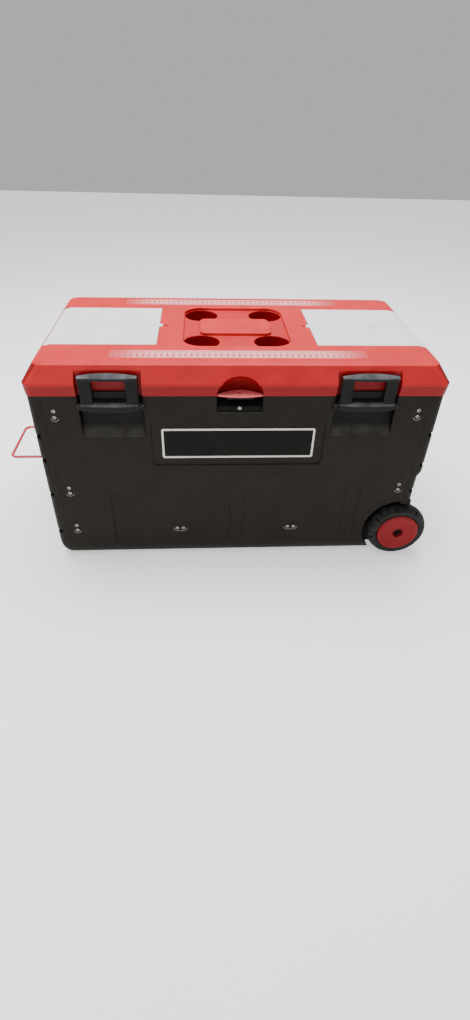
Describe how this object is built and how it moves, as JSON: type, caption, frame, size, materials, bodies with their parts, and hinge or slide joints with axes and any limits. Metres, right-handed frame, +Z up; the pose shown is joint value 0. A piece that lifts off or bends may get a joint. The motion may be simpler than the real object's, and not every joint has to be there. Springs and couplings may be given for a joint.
{
  "type": "rolling tool box",
  "caption": "Long tool box on two wheels with a hinged lid, two front latches, lidded small-parts bins in the lid, a padlock hasp and a folding pull handle.",
  "frame": {"origin": "centre of the case in plan, on the floor it stands on", "axes": "+X towards the wheeled end, +Y from the front with the latches to the hinged back, +Z up"},
  "size_m": [1.0715, 0.5228, 0.5193],
  "materials": {
    "red_plastic": "fine moulded grain",
    "black_plastic": "moulded, scuffed",
    "dark_plastic": "moulded",
    "white_plastic": "off-white print",
    "clear_plastic": "milky translucent",
    "steel": "zinc plated",
    "red_steel": "gloss paint on a steel rod",
    "tyre": "moulded rubber, scuffed"
  },
  "bodies": {
    "case": {"front_panel": "black_plastic", "back_panel": "black_plastic", "end_cap_left": "black_plastic", "end_cap_right": "black_plastic", "floor_tray": "black_plastic", "badge_plate": "dark_plastic", "badge_frame": "white_plastic", "hasp_rivet": "steel", "axle": "steel", "axle_nut_front": "steel", "axle_nut_back": "steel", "handle_bracket_front": "dark_plastic", "handle_bracket_back": "dark_plastic", "hinge_case_leaf_left": "steel", "hinge_case_leaf_right": "steel", "hinge_pin_left": "steel", "hinge_pin_right": "steel", "latch_pin_left": "steel", "latch_pin_right": "steel", "rivets_front_left_top": "steel", "rivets_front_left_middle": "steel", "rivets_front_left_bottom": "steel", "rivets_front_left_floor": "steel", "rivets_front_right_top": "steel", "rivets_front_right_middle": "steel", "rivets_front_right_floor": "steel", "rivets_back_left_top": "steel", "rivets_back_left_middle": "steel", "rivets_back_left_bottom": "steel", "rivets_back_left_floor": "steel", "rivets_back_right_top": "steel", "rivets_back_right_middle": "steel", "rivets_back_right_floor": "steel"},
    "lid": {"lid_shell": "red_plastic", "hinge_lid_leaf_left": "steel", "hinge_lid_leaf_right": "steel", "organiser_bin_left": "clear_plastic", "organiser_bin_right": "clear_plastic", "organiser_catch_left": "red_plastic", "organiser_catch_right": "red_plastic", "organiser_pin_left": "steel", "organiser_pin_right": "steel"},
    "cover_left": {"organiser_cover_left": "clear_plastic", "organiser_hinge_left": "clear_plastic"},
    "cover_right": {"organiser_cover_right": "clear_plastic", "organiser_hinge_right": "clear_plastic"},
    "latch_left": {"latch_left": "dark_plastic"},
    "latch_right": {"latch_right": "dark_plastic"},
    "wheel_front": {"tyre_front": "tyre", "wheel_hub_front": "red_plastic"},
    "wheel_back": {"tyre_back": "tyre", "wheel_hub_back": "red_plastic"},
    "handle": {"pull_handle": "red_steel"}
  },
  "joints": [
    {"name": "lid_hinge", "type": "hinge", "parent": "case", "child": "lid", "pos_m": [0, 0.2475, 0.4455], "axis": [-1, 0, 0], "range_deg": [0, 100]},
    {"name": "cover_left_hinge", "type": "hinge", "parent": "lid", "child": "cover_left", "pos_m": [-0.4235, 0, 0.5105], "axis": [0, -1, 0], "range_deg": [0, 100]},
    {"name": "cover_right_hinge", "type": "hinge", "parent": "lid", "child": "cover_right", "pos_m": [0.4235, 0, 0.5105], "axis": [0, 1, 0], "range_deg": [0, 100]},
    {"name": "latch_left_hinge", "type": "hinge", "parent": "case", "child": "latch_left", "pos_m": [-0.274, -0.2415, 0.4255], "axis": [1, 0, 0], "range_deg": [0, 165]},
    {"name": "latch_right_hinge", "type": "hinge", "parent": "case", "child": "latch_right", "pos_m": [0.274, -0.2415, 0.4255], "axis": [1, 0, 0], "range_deg": [0, 165]},
    {"name": "wheel_front_spin", "type": "hinge", "parent": "case", "child": "wheel_front", "pos_m": [0.417, -0.24, 0.075], "axis": [0, 1, 0], "continuous": true},
    {"name": "wheel_back_spin", "type": "hinge", "parent": "case", "child": "wheel_back", "pos_m": [0.417, 0.24, 0.075], "axis": [0, 1, 0], "continuous": true},
    {"name": "handle_pivot", "type": "hinge", "parent": "case", "child": "handle", "pos_m": [-0.455, 0, 0.2], "axis": [0, 1, 0], "range_deg": [-86, 86]}
  ]
}
